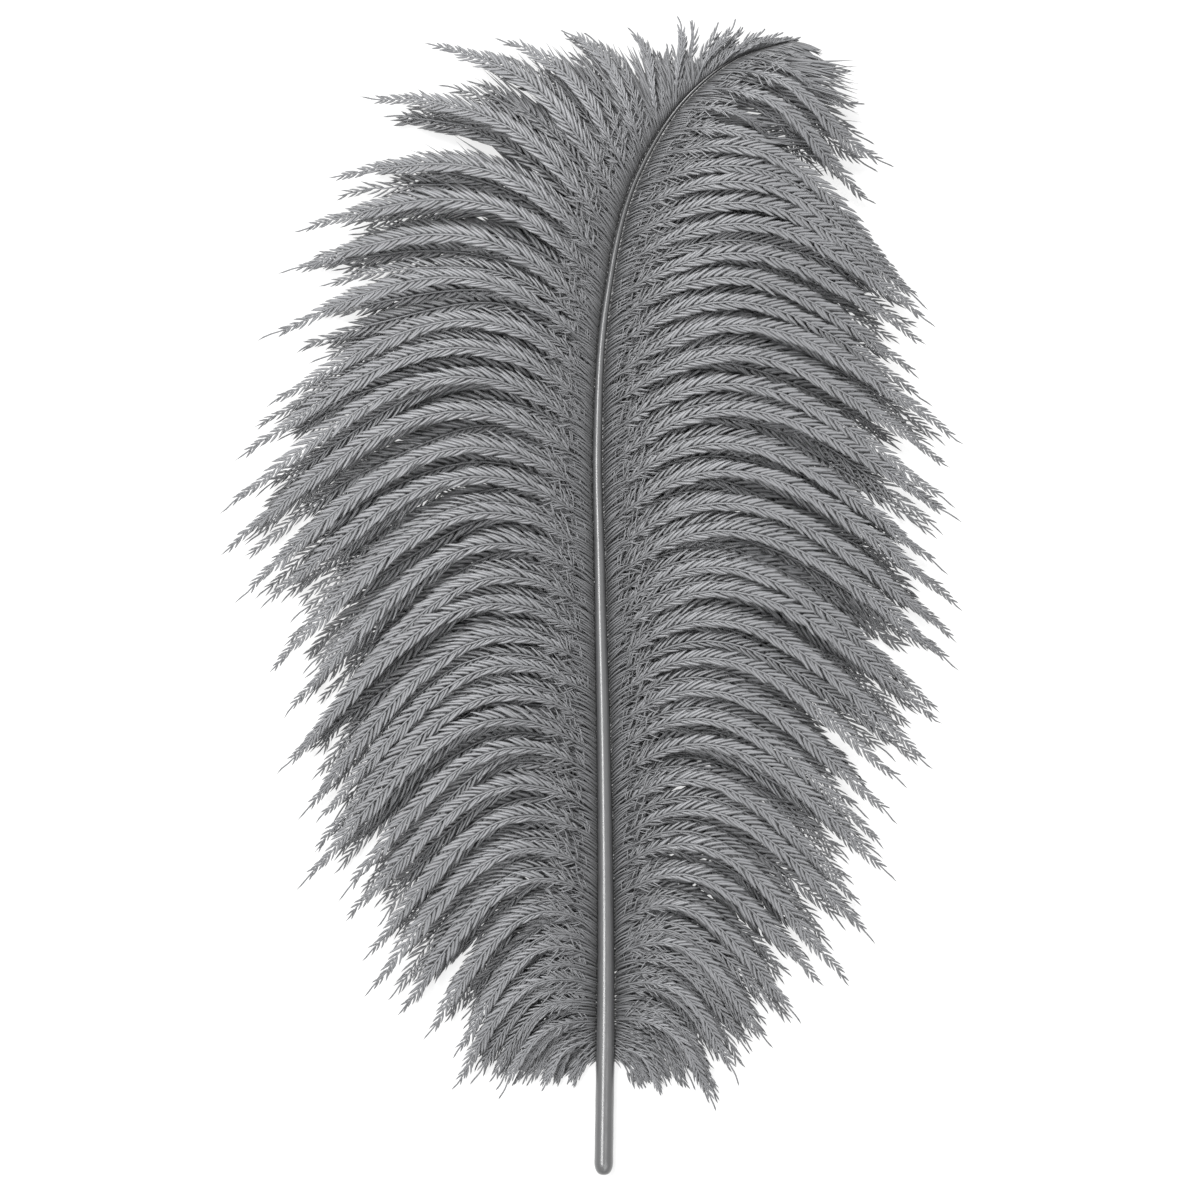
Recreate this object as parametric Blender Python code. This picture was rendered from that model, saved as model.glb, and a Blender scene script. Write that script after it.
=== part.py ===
"""Ostrich plume, 450 mm long, lying face up: one quill with a web of barbs down each side.

Metres, +Z up; the sizes below are millimetres. +Y runs up the quill from its butt towards its tip, and +X
is towards the right-hand web. The origin is the middle of the underside of the feather's box, on the
surface that the feather lies on.

A real web is thousands of fibres. Here each web is one thin arched sheet that reaches the fibre tips. It
leaves the quill steeply, crests, and comes down to lie on the surface with a narrow flat rim.
"""

import math

import bmesh
import bpy
import numpy as np
from mathutils import Vector

MM = 0.001

# Quill: bare butt, then a straight taper to a fine tip.
BUTT_RADIUS = 3.65
TIP_RADIUS = 0.35
BUTT_NOSE = 5.0  # length of the rounded butt end
NOSE_STEPS = 6  # rings round that end
NOSE_FLAT = 0.15  # radius of its flat centre, as a share of the quill's
BARE_SHARE = 0.095  # share of the quill below the first barb
QUILL_STEPS = 58  # rings along the rest
LINE_STEPS = 800  # points at which the centre line is measured
HEADING_SPAN = 0.01  # share of the quill either side, over which its direction is read
# Centre line of the quill: x, y and how far its underside is lifted off the surface.
QUILL_KNOTS = (
    (3.9, -225.0, 0.0),
    (4.8, -150.0, 0.0),
    (4.2, -70.0, 0.0),
    (2.4, 12.0, 0.3),
    (1.6, 62.0, 2.5),
    (4.8, 112.0, 8.5),
    (17.5, 163.0, 16.5),
    (36.1, 191.9, 20.0),
    (54.0, 206.6, 18.5),
    (73.6, 214.2, 12.5),
)

# Webs. Each row is a place along the barbed part of the quill (0 first barb, 1 quill's tip), then how far
# the chord of the barb that grows there points above straight out, in degrees, and the chord's length.
LEFT_WEB = (
    (0.000, -38.0, 16.0),
    (0.035, -38.0, 53.0),
    (0.100, -33.0, 76.0),
    (0.190, -25.0, 106.0),
    (0.300, -24.0, 124.0),
    (0.420, -23.0, 140.0),
    (0.510, -14.0, 143.0),
    (0.600, -7.0, 144.0),
    (0.700, 5.0, 129.0),
    (0.790, 17.0, 104.0),
    (0.850, 31.0, 75.0),
    (0.900, 47.0, 42.0),
    (0.950, 74.0, 19.0),
    (1.000, 125.0, 10.0),
)
RIGHT_WEB = (
    (0.000, -43.0, 20.0),
    (0.035, -40.0, 53.0),
    (0.095, -28.0, 78.0),
    (0.190, -21.0, 107.0),
    (0.310, -17.0, 127.0),
    (0.450, -14.0, 143.0),
    (0.560, -10.0, 142.0),
    (0.690, -8.0, 135.0),
    (0.760, -13.0, 121.0),
    (0.830, -23.0, 105.0),
    (0.910, -26.0, 87.0),
    (0.960, -23.0, 56.0),
    (1.000, -6.0, 21.0),
)
LEAVE_ANGLE = 45.0  # between a barb and the quill where it leaves, in degrees
DROOP_ANGLE = 23.0  # how much further down than its chord a barb points at its tip
OUT_HANDLE = 0.45  # share of the chord over which a barb holds its first direction
IN_HANDLE = 0.40  # share of the chord over which it holds its last direction
FULL_BARB = 143.0  # chord of the longest barb
CREST_HEIGHT = 25.0  # how far that barb rises
CREST_POWER = 0.7  # a shorter barb rises by this power of its share of the full length
OUT_RISE = 1.5  # height of the first handle over the root, in crests
IN_RISE = 0.8  # height of the last handle, in crests
IN_ROOT = 0.5  # and the share of the root's own height that it keeps

SHEET_THICKNESS = 4.0  # of a web at its middle
FULLNESS = 0.7  # power of a sine along a barb: below 1, the web is at full thickness for most of it
RIM_THICKNESS = 1.6  # of the flat rim that lies on the surface
ROOT_THICKNESS = 1.8  # where a web meets the quill
RIM_SHARE = 0.12  # outer share of a barb that lies flat
LANDING_SHARE = 0.35  # share of a barb over which it eases down to that
QUILL_GAP = 0.4  # between a web and the quill
LOCKS = 36  # barbs show as this many ridges on each web, each with its own pointed end
LOCK_RISE = 1.2  # height of a ridge
LOCK_NOTCH = 0.07  # depth of the notch between two ends, as a share of the barb
BARB_STEPS = 11  # spans along each ridge
SHARP_ANGLE = 40.0  # edges that turn more than this are shaded sharp, in degrees

KERATIN = ("quill_keratin", (0.36, 0.36, 0.37), 0.38)
DOWN = ("barb_down", (0.20, 0.20, 0.21), 0.75)


def smooth_through(knots, places):
    """Values at places on the smooth curve through knots, whose first column is the place of each row."""
    rows = np.array(knots, float)
    at, values = rows[:, 0], rows[:, 1:]
    slopes = np.gradient(values, at, axis=0)
    places = np.atleast_1d(places)
    i = np.clip(np.searchsorted(at, places, side="right") - 1, 0, len(at) - 2)
    span = at[i + 1] - at[i]
    u = ((places - at[i]) / span)[:, None]
    span = span[:, None]
    return (
        values[i] * (1 + 2 * u) * (1 - u) ** 2
        + values[i + 1] * u**2 * (3 - 2 * u)
        + slopes[i] * span * u * (1 - u) ** 2
        - slopes[i + 1] * span * u**2 * (1 - u)
    )


def quill_radius(share):
    """Radius of the quill at a share of its length: full along the bare butt, then an even taper."""
    barbed = np.clip((np.asarray(share) - BARE_SHARE) / (1 - BARE_SHARE), 0, 1)
    return BUTT_RADIUS + (TIP_RADIUS - BUTT_RADIUS) * barbed


class Quill:
    """The centre line of the quill, read by share of its length."""

    def __init__(self):
        knots = np.array(QUILL_KNOTS)
        steps = np.linalg.norm(np.diff(knots[:, :2], axis=0), axis=1)
        chords = np.concatenate([[0], np.cumsum(steps)])
        places = np.linspace(0, chords[-1], LINE_STEPS)
        self.line = smooth_through(np.column_stack([chords, knots]), places)
        steps = np.linalg.norm(np.diff(self.line[:, :2], axis=0), axis=1)
        along = np.concatenate([[0], np.cumsum(steps)])
        self.length = along[-1]
        self.shares = along / self.length

    def point(self, share):
        """Centre of the quill, resting on the surface or lifted off it."""
        x, y, lift = (np.interp(share, self.shares, self.line[:, k]) for k in range(3))
        return np.stack([x, y, np.maximum(lift, 0) + quill_radius(share)], axis=-1)

    def heading(self, share):
        """Direction of the quill in plan, as an angle from +X in radians."""
        ahead = self.point(np.minimum(share + HEADING_SPAN, 1.0))
        behind = self.point(np.maximum(share - HEADING_SPAN, 0.0))
        return np.arctan2(ahead[..., 1] - behind[..., 1], ahead[..., 0] - behind[..., 0])


def level(angle):
    """Unit vectors in plan at these angles from +X."""
    return np.stack([np.cos(angle), np.sin(angle), np.zeros_like(angle)], axis=-1)


def barb_handles(quill, side, places):
    """Four Bezier points for each barb at these places along the barbed part. side is 1 right, -1 left."""
    share = BARE_SHARE + (1 - BARE_SHARE) * places
    chord = smooth_through(RIGHT_WEB if side > 0 else LEFT_WEB, places)
    rise, length = np.radians(chord[:, 0]), chord[:, 1]
    out = np.where(side > 0, rise, math.pi - rise)
    droop = out - side * math.radians(DROOP_ANGLE)
    heading = quill.heading(share)
    centre = quill.point(share)
    root = centre + level(heading - side * math.pi / 2) * (quill_radius(share) + QUILL_GAP)[:, None]
    tip = centre + level(out) * length[:, None]
    tip[:, 2] = RIM_THICKNESS / 2
    crest = CREST_HEIGHT * (length / FULL_BARB) ** CREST_POWER
    first = root + level(heading - side * math.radians(LEAVE_ANGLE)) * (OUT_HANDLE * length)[:, None]
    first[:, 2] = root[:, 2] + OUT_RISE * crest
    last = tip - level(droop) * (IN_HANDLE * length)[:, None]
    last[:, 2] = IN_ROOT * root[:, 2] + IN_RISE * crest
    return root, first, last, tip


def bezier(handles, u):
    """Points on each barb's cubic. u has a row for each barb."""
    a, b, c, d = (handle[:, None, :] for handle in handles)
    u = u[..., None]
    return a * (1 - u) ** 3 + 3 * b * u * (1 - u) ** 2 + 3 * c * u**2 * (1 - u) + d * u**3


def web_sheet(quill, side):
    """Undersides and thicknesses of a web: a row of points for each ridge top and each notch between."""
    places = np.linspace(0, 1, 2 * LOCKS + 1)
    on_ridge = (np.arange(len(places)) % 2)[:, None]
    reach = np.linspace(0, 1, BARB_STEPS + 1)
    points = bezier(barb_handles(quill, side, places), reach * (1 - LOCK_NOTCH * (1 - on_ridge)))
    middle = np.sin(math.pi * np.clip(reach, 0, 1)) ** FULLNESS
    ends = ROOT_THICKNESS + (RIM_THICKNESS - ROOT_THICKNESS) * reach
    thickness = ends + (SHEET_THICKNESS - ROOT_THICKNESS) * middle
    thickness = np.where(reach > 1 - RIM_SHARE, RIM_THICKNESS, thickness)
    underside = points[..., 2] + LOCK_RISE * (2 * on_ridge - 1) * middle - thickness / 2
    off_rim = np.clip((1 - RIM_SHARE - reach) / LANDING_SHARE, 0, 1)
    points[..., 2] = np.maximum(underside, 0) * off_rim**2 * (3 - 2 * off_rim)
    return points, thickness


def material(name, colour, roughness):
    """A plain finish of one colour."""
    made = bpy.data.materials.new(name)
    made.use_nodes = True
    surface = made.node_tree.nodes["Principled BSDF"]
    surface.inputs["Base Color"].default_value = (*colour, 1)
    surface.inputs["Roughness"].default_value = roughness
    surface.inputs["Metallic"].default_value = 0
    return made


def add_web(name, quill, side, finish):
    """One web: its underside as a grid of faces, then extruded up by its thickness at each point."""
    points, thickness = web_sheet(quill, side)
    rows, columns = points.shape[:2]
    sheet = bmesh.new()
    thick = sheet.verts.layers.float.new("thickness")
    verts = [[sheet.verts.new(points[i, j] * MM) for j in range(columns)] for i in range(rows)]
    for row in verts:
        for vert, height in zip(row, thickness):
            vert[thick] = height * MM
    for i in range(rows - 1):
        for j in range(columns - 1):
            sheet.faces.new((verts[i][j], verts[i + 1][j], verts[i + 1][j + 1], verts[i][j + 1]))
    raised = bmesh.ops.extrude_face_region(sheet, geom=sheet.faces[:], use_keep_orig=True)
    for part in raised["geom"]:
        if isinstance(part, bmesh.types.BMVert):
            part.co.z += part[thick]
    bmesh.ops.recalc_face_normals(sheet, faces=sheet.faces)
    mesh = bpy.data.meshes.new(name)
    sheet.to_mesh(mesh)
    sheet.free()
    mesh.shade_smooth()
    mesh.set_sharp_from_angle(angle=math.radians(SHARP_ANGLE))
    mesh.materials.append(finish)
    web = bpy.data.objects.new(name, mesh)
    bpy.context.scene.collection.objects.link(web)
    return web


def add_quill(name, quill, finish):
    """The quill: a bevelled curve whose radius follows the taper, with a rounded butt."""
    nose = BUTT_NOSE / quill.length
    turn = np.linspace(0, math.pi / 2, NOSE_STEPS, endpoint=False)
    shares = np.concatenate([nose * (1 - np.cos(turn)), np.linspace(nose, 1, QUILL_STEPS)])
    swell = np.concatenate([np.maximum(np.sin(turn), NOSE_FLAT), np.ones(QUILL_STEPS)])
    centre = quill.point(shares)
    curve = bpy.data.curves.new(name, "CURVE")
    curve.dimensions = "3D"
    curve.bevel_depth = MM
    curve.bevel_resolution = 4
    curve.use_fill_caps = True
    line = curve.splines.new("POLY")
    line.points.add(len(shares) - 1)
    for point, place, radius in zip(line.points, centre, swell * quill_radius(shares)):
        point.co = (*(place * MM), 1)
        point.radius = radius
    curve.materials.append(finish)
    made = bpy.data.objects.new(name, curve)
    bpy.context.scene.collection.objects.link(made)
    return made


def centre(pieces):
    """Moves the pieces together until the middle of their box is over the origin."""
    bpy.context.view_layer.update()
    corners = [piece.matrix_world @ Vector(corner) for piece in pieces for corner in piece.bound_box]
    middle = (np.min(corners, axis=0) + np.max(corners, axis=0)) / 2
    for piece in pieces:
        piece.location = (-middle[0], -middle[1], 0)


def main():
    for old in list(bpy.data.objects):
        bpy.data.objects.remove(old)
    quill = Quill()
    keratin, down = material(*KERATIN), material(*DOWN)
    stem = add_quill("quill", quill, keratin)
    webs = [add_web("web_left", quill, -1, down), add_web("web_right", quill, 1, down)]
    centre([stem, *webs])


main()
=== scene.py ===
"""Ostrich plume lying face up: the looks of the quill and of every barb and barbule, built round the frame.

Laid out as a Blender add-on. Each operator makes one piece or group of like pieces from the settings in
the panel, whose lengths are metres. The design tables below are millimetres, in the quill's own plan, and
are placed on the frame by the quill's box.
"""

import math

import bpy
import numpy as np
from bpy.props import EnumProperty, FloatProperty, FloatVectorProperty, IntProperty, PointerProperty
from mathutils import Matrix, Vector


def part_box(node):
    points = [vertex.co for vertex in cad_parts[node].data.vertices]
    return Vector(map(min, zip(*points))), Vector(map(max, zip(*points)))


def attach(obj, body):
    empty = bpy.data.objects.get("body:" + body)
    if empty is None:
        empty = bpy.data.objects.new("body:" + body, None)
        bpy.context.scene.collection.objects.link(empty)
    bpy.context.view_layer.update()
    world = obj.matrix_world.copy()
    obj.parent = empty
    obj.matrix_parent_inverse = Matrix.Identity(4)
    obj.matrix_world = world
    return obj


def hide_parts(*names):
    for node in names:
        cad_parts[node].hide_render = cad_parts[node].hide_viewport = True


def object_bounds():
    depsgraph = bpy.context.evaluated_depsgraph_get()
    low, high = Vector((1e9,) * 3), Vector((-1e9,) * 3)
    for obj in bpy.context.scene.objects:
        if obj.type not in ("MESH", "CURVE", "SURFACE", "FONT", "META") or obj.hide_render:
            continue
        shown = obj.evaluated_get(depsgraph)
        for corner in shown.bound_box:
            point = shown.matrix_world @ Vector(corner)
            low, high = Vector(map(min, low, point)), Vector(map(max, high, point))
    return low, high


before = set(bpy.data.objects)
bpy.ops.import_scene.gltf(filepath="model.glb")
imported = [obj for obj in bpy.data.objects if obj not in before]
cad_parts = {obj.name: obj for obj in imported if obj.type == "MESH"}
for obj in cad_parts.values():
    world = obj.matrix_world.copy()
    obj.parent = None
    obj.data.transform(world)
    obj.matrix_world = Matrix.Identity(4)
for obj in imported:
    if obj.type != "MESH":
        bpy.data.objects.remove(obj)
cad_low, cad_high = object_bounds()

bl_info = {
    "name": "Ostrich Plume",
    "version": (1, 0, 0),
    "blender": (4, 5, 0),
    "location": "View3D > Sidebar > Plume",
    "description": "Builds a lying ostrich plume: quill, barbs with barbules, root down and a studio stage",
    "category": "Add Mesh",
}

MM = 0.001
BODY = "root"
LEFT, RIGHT = -1, 1

# Centre line of the quill in plan, and how far its underside is lifted off the surface.
QUILL_KNOTS = (
    (3.9, -225.0, 0.0),
    (4.8, -150.0, 0.0),
    (4.2, -70.0, 0.0),
    (2.4, 12.0, 0.3),
    (1.6, 62.0, 2.5),
    (4.8, 112.0, 8.5),
    (17.5, 163.0, 16.5),
    (36.1, 191.9, 20.0),
    (54.0, 206.6, 18.5),
    (73.6, 214.2, 12.5),
)
BARE_SHARE = 0.095  # share of the quill below the first barb

# Each row is a place along the barbed part of the quill (0 first barb, 1 quill's tip), then how far the
# chord of the barb that grows there points above straight out, in degrees, and the chord's length.
LEFT_WEB = (
    (0.000, -38.0, 17.6),
    (0.035, -35.0, 56.0),
    (0.100, -33.0, 84.9),
    (0.190, -25.0, 115.9),
    (0.300, -24.0, 134.5),
    (0.420, -23.0, 151.1),
    (0.510, -14.0, 155.2),
    (0.600, -6.0, 152.0),
    (0.670, 8.0, 142.0),
    (0.700, 14.0, 138.0),
    (0.725, 20.5, 130.0),
    (0.750, 28.0, 120.0),
    (0.775, 37.0, 107.0),
    (0.800, 48.0, 89.5),
    (0.825, 59.0, 69.0),
    (0.847, 68.0, 56.0),
    (0.866, 79.0, 44.0),
    (0.885, 93.0, 36.5),
    (0.905, 114.0, 33.0),
    (0.925, 130.0, 27.0),
    (0.945, 145.0, 23.0),
    (0.965, 154.0, 18.0),
    (0.985, 162.0, 12.5),
    (1.000, 168.0, 8.5),
)
RIGHT_WEB = (
    (0.000, -43.0, 22.0),
    (0.035, -40.0, 57.0),
    (0.095, -28.0, 84.0),
    (0.190, -21.0, 114.0),
    (0.310, -17.0, 135.0),
    (0.450, -14.0, 150.0),
    (0.560, -10.0, 149.0),
    (0.690, -8.0, 143.0),
    (0.760, -13.0, 128.0),
    (0.830, -27.0, 114.0),
    (0.850, -35.0, 110.0),
    (0.869, -27.0, 56.0),
    (0.882, -22.0, 56.0),
    (0.896, -31.0, 94.0),
    (0.912, -29.0, 98.0),
    (0.930, -27.0, 86.0),
    (0.950, -23.0, 74.0),
    (0.970, -21.0, 50.0),
    (0.985, -14.0, 36.0),
    (1.000, -8.0, 24.0),
)
FULL_CHORD = 143.0 * MM  # chord of a barb that crests in full

# Layers of barbs, top one first. For each layer:
#   offsets  where its barbs grow beside the lock's own place, as shares of the room between locks
#   rise     how high they crest, and end how high their ends lie in mm, both for a full barb
#   gather   how far their outer parts close on the lock's line
#   short    how much shorter its barbs are, least and most
#   stray    how unevenly they turn, in degrees
#   fall     how far their barbules hang at the crest, in degrees
#   bare     share of each barb before its barbules start
#   wide     how wide its barbules are, long how long and close how far apart, beside the settings
#   sides    corners of a barbule's ring, and rings how many it has
#    shade    how light its finish is beside the top layer's: the lower layers are darker by painted shade
LAYERS = {
    "crest": dict(
        offsets=(0.0,), rise=1.00, end=4.6, gather=0.0, short=(0.0, 0.03), stray=0.8, fall=36,
        bare=0.0, wide=0.86, long=0.84, close=0.86, sides=4, rings=3, shade=1.0,
    ),
    "middle": dict(
        offsets=(0.36,), rise=0.78, end=3.4, gather=0.62, short=(0.05, 0.17), stray=2.0, fall=30,
        bare=0.0, wide=0.88, long=0.86, close=0.9, sides=3, rings=3, shade=0.92,
    ),
    "lower": dict(
        offsets=(-0.30, 0.16), rise=0.50, end=2.3, gather=0.72, short=(0.09, 0.28), stray=3.0, fall=20,
        bare=0.0, wide=1.0, long=0.95, close=1.0, sides=4, rings=2, shade=0.80,
    ),
    "under": dict(
        offsets=(-0.42, -0.08, 0.27), rise=0.28, end=1.3, gather=0.35, short=(0.12, 0.34), stray=4.0, fall=12,
        bare=0.0, wide=1.5, long=1.15, close=1.0, sides=3, rings=2, shade=0.70,
    ),
    "fringe": dict(
        offsets=(-0.22, 0.30, 0.48), rise=0.36, end=1.8, gather=0.18, short=(0.04, 0.24), stray=2.5, fall=8,
        bare=0.42, wide=1.0, long=1.0, close=1.0, sides=3, rings=2, shade=0.86,
    ),
}

# Rows of root down, top one first: length and radius beside the settings', and rise for each step out. The
# rows after the first two lie low under the barbs, are a little further apart and are darker: their tones
# are pulled down as painted shade beneath the barbs.
ROOT_ROWS = (
    (1.0, 1.0, 0.62),
    (1.0, 1.0, 0.55),
    (1.7, 1.7, 0.36),
    (2.6, 1.9, 0.20),
    (4.6, 2.4, 0.08),
    (7.4, 2.8, 0.03),
)
TOP_ROWS = 2
LOW_ROW_PITCH = 1.15
# Painted shade: the low rows' tones are kept this far down, as if in the barbs' shadow.
LOW_ROW_PAINTED_SHADE = 0.2

# Places where the barbs change along the quill, as the spans over which they do.
BOTTOM_FAN = (0.0, 0.12)
TIP = (0.84, 1.0)
TIP_ALONG_CHORD = (0.87, 0.94)
TIP_STRAIGHT = (0.84, 0.97)
TIP_RAGGED = (0.88, 0.95)
TIP_TIGHT = (0.84, 0.90)
LEFT_FAN = (0.68, 0.78)

# Where a fibre starts in the quill, as shares of its radius: out from the centre line, and below it.
ROOT_OUT = 0.8
BARB_SINK = 0.25
LEAST_HEIGHT = 0.5 * MM  # of a fibre's centre line over the surface


# ---------------------------------------------------------------------------------------------- settings


class PlumeQuill(bpy.types.PropertyGroup):
    """Sizes of the quill."""

    butt_radius: FloatProperty(
        name="Butt radius", description="Radius of the bare butt", default=3.65 * MM, unit="LENGTH"
    )
    tip_radius: FloatProperty(
        name="Tip radius", description="Radius at the quill's tip", default=0.35 * MM, unit="LENGTH"
    )
    nose: FloatProperty(
        name="Nose", description="Length of the rounded butt end", default=5.0 * MM, unit="LENGTH"
    )
    swelling: FloatProperty(
        name="Swelling", description="Rise of the growth swellings, as a share of the radius", default=0.025
    )
    swelling_pitch: FloatProperty(
        name="Swelling pitch", description="Distance between swellings", default=13.0 * MM, unit="LENGTH"
    )


class PlumeBarbs(bpy.types.PropertyGroup):
    """How the barbs leave the quill, crest and droop."""

    locks: IntProperty(name="Locks", description="Top barbs down each side", default=38, min=8)
    leave: FloatProperty(
        name="Leave angle",
        description="Between a barb and the quill where it leaves",
        default=math.radians(48),
        subtype="ANGLE",
    )
    low_leave: FloatProperty(
        name="Lowest leave angle",
        description="The same for the lowest barbs, which fan out and down",
        default=math.radians(90),
        subtype="ANGLE",
    )
    droop: FloatProperty(
        name="Droop",
        description="How much further down than its chord a barb points at its tip",
        default=math.radians(25),
        subtype="ANGLE",
    )
    out_handle: FloatProperty(
        name="First bend",
        description="Share of the chord over which a barb holds its first direction",
        default=0.50,
    )
    in_handle: FloatProperty(
        name="Last bend",
        description="Share of the chord over which it holds its last direction",
        default=0.42,
    )
    crest: FloatProperty(
        name="Crest", description="How far the longest barb rises", default=25.0 * MM, unit="LENGTH"
    )
    wave: FloatProperty(
        name="Wave",
        description="How far a barb's hair end waves to each side",
        default=0.55 * MM,
        unit="LENGTH",
    )
    root_radius: FloatProperty(
        name="Root radius",
        description="Radius of a barb's stem at its root",
        default=0.45 * MM,
        unit="LENGTH",
    )
    hair_radius: FloatProperty(
        name="Hair radius", description="Radius of its bare hair", default=0.33 * MM, unit="LENGTH"
    )
    hair: FloatProperty(
        name="Bare hair",
        description="Length of the bare hair at a barb's tip",
        default=11.5 * MM,
        unit="LENGTH",
    )


class PlumeBarbules(bpy.types.PropertyGroup):
    """Sizes of the barbules, the small fibres down both sides of a barb."""

    length: FloatProperty(name="Length", description="Of a full barbule", default=11.2 * MM, unit="LENGTH")
    radius: FloatProperty(
        name="Radius", description="Half width of a full barbule", default=0.80 * MM, unit="LENGTH"
    )
    flatness: FloatProperty(name="Flatness", description="Thickness as a share of width", default=0.55)
    pitch: FloatProperty(
        name="Pitch", description="Between barbules on one side of a barb", default=3.05 * MM, unit="LENGTH"
    )
    spread: FloatProperty(
        name="Spread", description="Between a barbule and its barb", default=math.radians(23), subtype="ANGLE"
    )
    waning: FloatProperty(
        name="Waning", description="How much shorter the last barbules of a barb are", default=0.58
    )
    tangle: FloatProperty(
        name="Tangle",
        description="How far from the quill the short crossing barbules reach",
        default=21.0 * MM,
        unit="LENGTH",
    )


class PlumeRootDown(bpy.types.PropertyGroup):
    """Sizes of the fine down that lines both sides of the quill."""

    pitch: FloatProperty(name="Pitch", description="Between hairs", default=1.3 * MM, unit="LENGTH")
    length: FloatProperty(name="Length", description="Of a hair", default=13.0 * MM, unit="LENGTH")
    radius: FloatProperty(name="Radius", description="Of a hair", default=0.34 * MM, unit="LENGTH")
    leave: FloatProperty(
        name="Leave angle",
        description="Between a hair and the quill",
        default=math.radians(38),
        subtype="ANGLE",
    )


class PlumeFinish(bpy.types.PropertyGroup):
    """Colours of the finishes."""

    down: FloatVectorProperty(
        name="Down",
        description="Colour of the barbules",
        default=(0.184, 0.186, 0.194),
        size=3,
        subtype="COLOR",
    )
    down_dark: FloatVectorProperty(
        name="Dark down",
        description="Colour of the darker fibres",
        default=(0.122, 0.124, 0.129),
        size=3,
        subtype="COLOR",
    )
    # Keratin is the colour along the quill's top, set light for a painted highlight; the finish darkens it
    # down the sides with painted shade.
    keratin: FloatVectorProperty(
        name="Keratin",
        description="Colour of the quill",
        default=(0.46, 0.465, 0.478),
        size=3,
        subtype="COLOR",
    )
    keratin_dark: FloatVectorProperty(
        name="Dark keratin",
        description="Colour of the quill's tip",
        default=(0.085, 0.086, 0.09),
        size=3,
        subtype="COLOR",
    )


class PlumeStage(bpy.types.PropertyGroup):
    """The surface, lights and camera."""

    floor: FloatProperty(name="Floor", description="Side of the floor", default=12.0, unit="LENGTH")
    lens: FloatProperty(name="Lens", description="Focal length in millimetres", default=120.0)
    view_width: FloatProperty(
        name="View width",
        description="Width that the camera sees at the feather",
        default=0.464,
        unit="LENGTH",
    )
    glow: FloatProperty(name="Glow", description="Strength of the floor's own light", default=0.76)
    key: FloatProperty(name="Key light", description="Power in watts", default=36.5)
    fill: FloatProperty(name="Fill light", description="Power in watts", default=8.0)
    strip: FloatProperty(name="Strip light", description="Power in watts", default=16.0)
    sky: FloatProperty(name="Sky", description="Strength of the room's light", default=0.81)


# ---------------------------------------------------------------------------------- lines that barbs follow


def smooth_through(knots, places):
    """Values at places on the smooth curve through knots, whose first column is the place of each row."""
    rows = np.array(knots, float)
    at, values = rows[:, 0], rows[:, 1:]
    slopes = np.gradient(values, at, axis=0)
    places = np.atleast_1d(places)
    i = np.clip(np.searchsorted(at, places, side="right") - 1, 0, len(at) - 2)
    span = at[i + 1] - at[i]
    u = ((places - at[i]) / span)[:, None]
    span = span[:, None]
    return (
        values[i] * (1 + 2 * u) * (1 - u) ** 2
        + values[i + 1] * u**2 * (3 - 2 * u)
        + slopes[i] * span * u * (1 - u) ** 2
        - slopes[i + 1] * span * u**2 * (1 - u)
    )


def quill_share(places):
    """Share of the quill's length at places along its barbed part."""
    return BARE_SHARE + (1 - BARE_SHARE) * places


def unit(vectors):
    """The vectors at length one."""
    return vectors / np.linalg.norm(vectors, axis=-1, keepdims=True)


def ease(x, low, high):
    """0 below low, 1 above high and smooth between."""
    u = np.clip((x - low) / (high - low), 0, 1)
    return u * u * (3 - 2 * u)


class Shaft:
    """The quill's centre line on the frame, read by share of its length."""

    steps = 900
    span = 0.01  # share of the quill either side, over which its direction is read

    def __init__(self, quill):
        self.butt_radius, self.tip_radius = quill.butt_radius, quill.tip_radius
        knots = np.array(QUILL_KNOTS)
        chords = np.concatenate([[0], np.cumsum(np.linalg.norm(np.diff(knots[:, :2], axis=0), axis=1))])
        line = smooth_through(np.column_stack([chords, knots]), np.linspace(0, chords[-1], self.steps)) * MM
        low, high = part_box("quill")
        line[:, 1] += low.y - line[0, 1]
        line[:, 0] += high.x - line[:, 0].max()
        along = np.concatenate([[0], np.cumsum(np.linalg.norm(np.diff(line[:, :2], axis=0), axis=1))])
        self.length = along[-1]
        self.shares, self.line = along / self.length, line

    def radius(self, share):
        """Radius at a share of the length: full along the bare butt, then an even taper."""
        barbed = np.clip((np.asarray(share) - BARE_SHARE) / (1 - BARE_SHARE), 0, 1)
        return self.butt_radius + (self.tip_radius - self.butt_radius) * barbed

    def point(self, share):
        """Centre of the quill, resting on the surface or lifted off it."""
        x, y, lift = (np.interp(share, self.shares, self.line[:, k]) for k in range(3))
        return np.stack([x, y, np.maximum(lift, 0) + self.radius(share)], axis=-1)

    def heading(self, share):
        """Direction of the quill in plan, as an angle from +X."""
        ahead = self.point(np.minimum(share + self.span, 1.0))
        behind = self.point(np.maximum(share - self.span, 0.0))
        return np.arctan2(ahead[..., 1] - behind[..., 1], ahead[..., 0] - behind[..., 0])


def level(angle):
    """Unit vectors in plan at these angles from +X."""
    return np.stack([np.cos(angle), np.sin(angle), np.zeros_like(angle)], axis=-1)


def web_chord(side, places):
    """Angle from +X and length of the chord of the barbs at these places."""
    chord = smooth_through(RIGHT_WEB if side == RIGHT else LEFT_WEB, places)
    rise = np.radians(chord[:, 0])
    return np.where(side == RIGHT, rise, math.pi - rise), chord[:, 1] * MM


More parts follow.
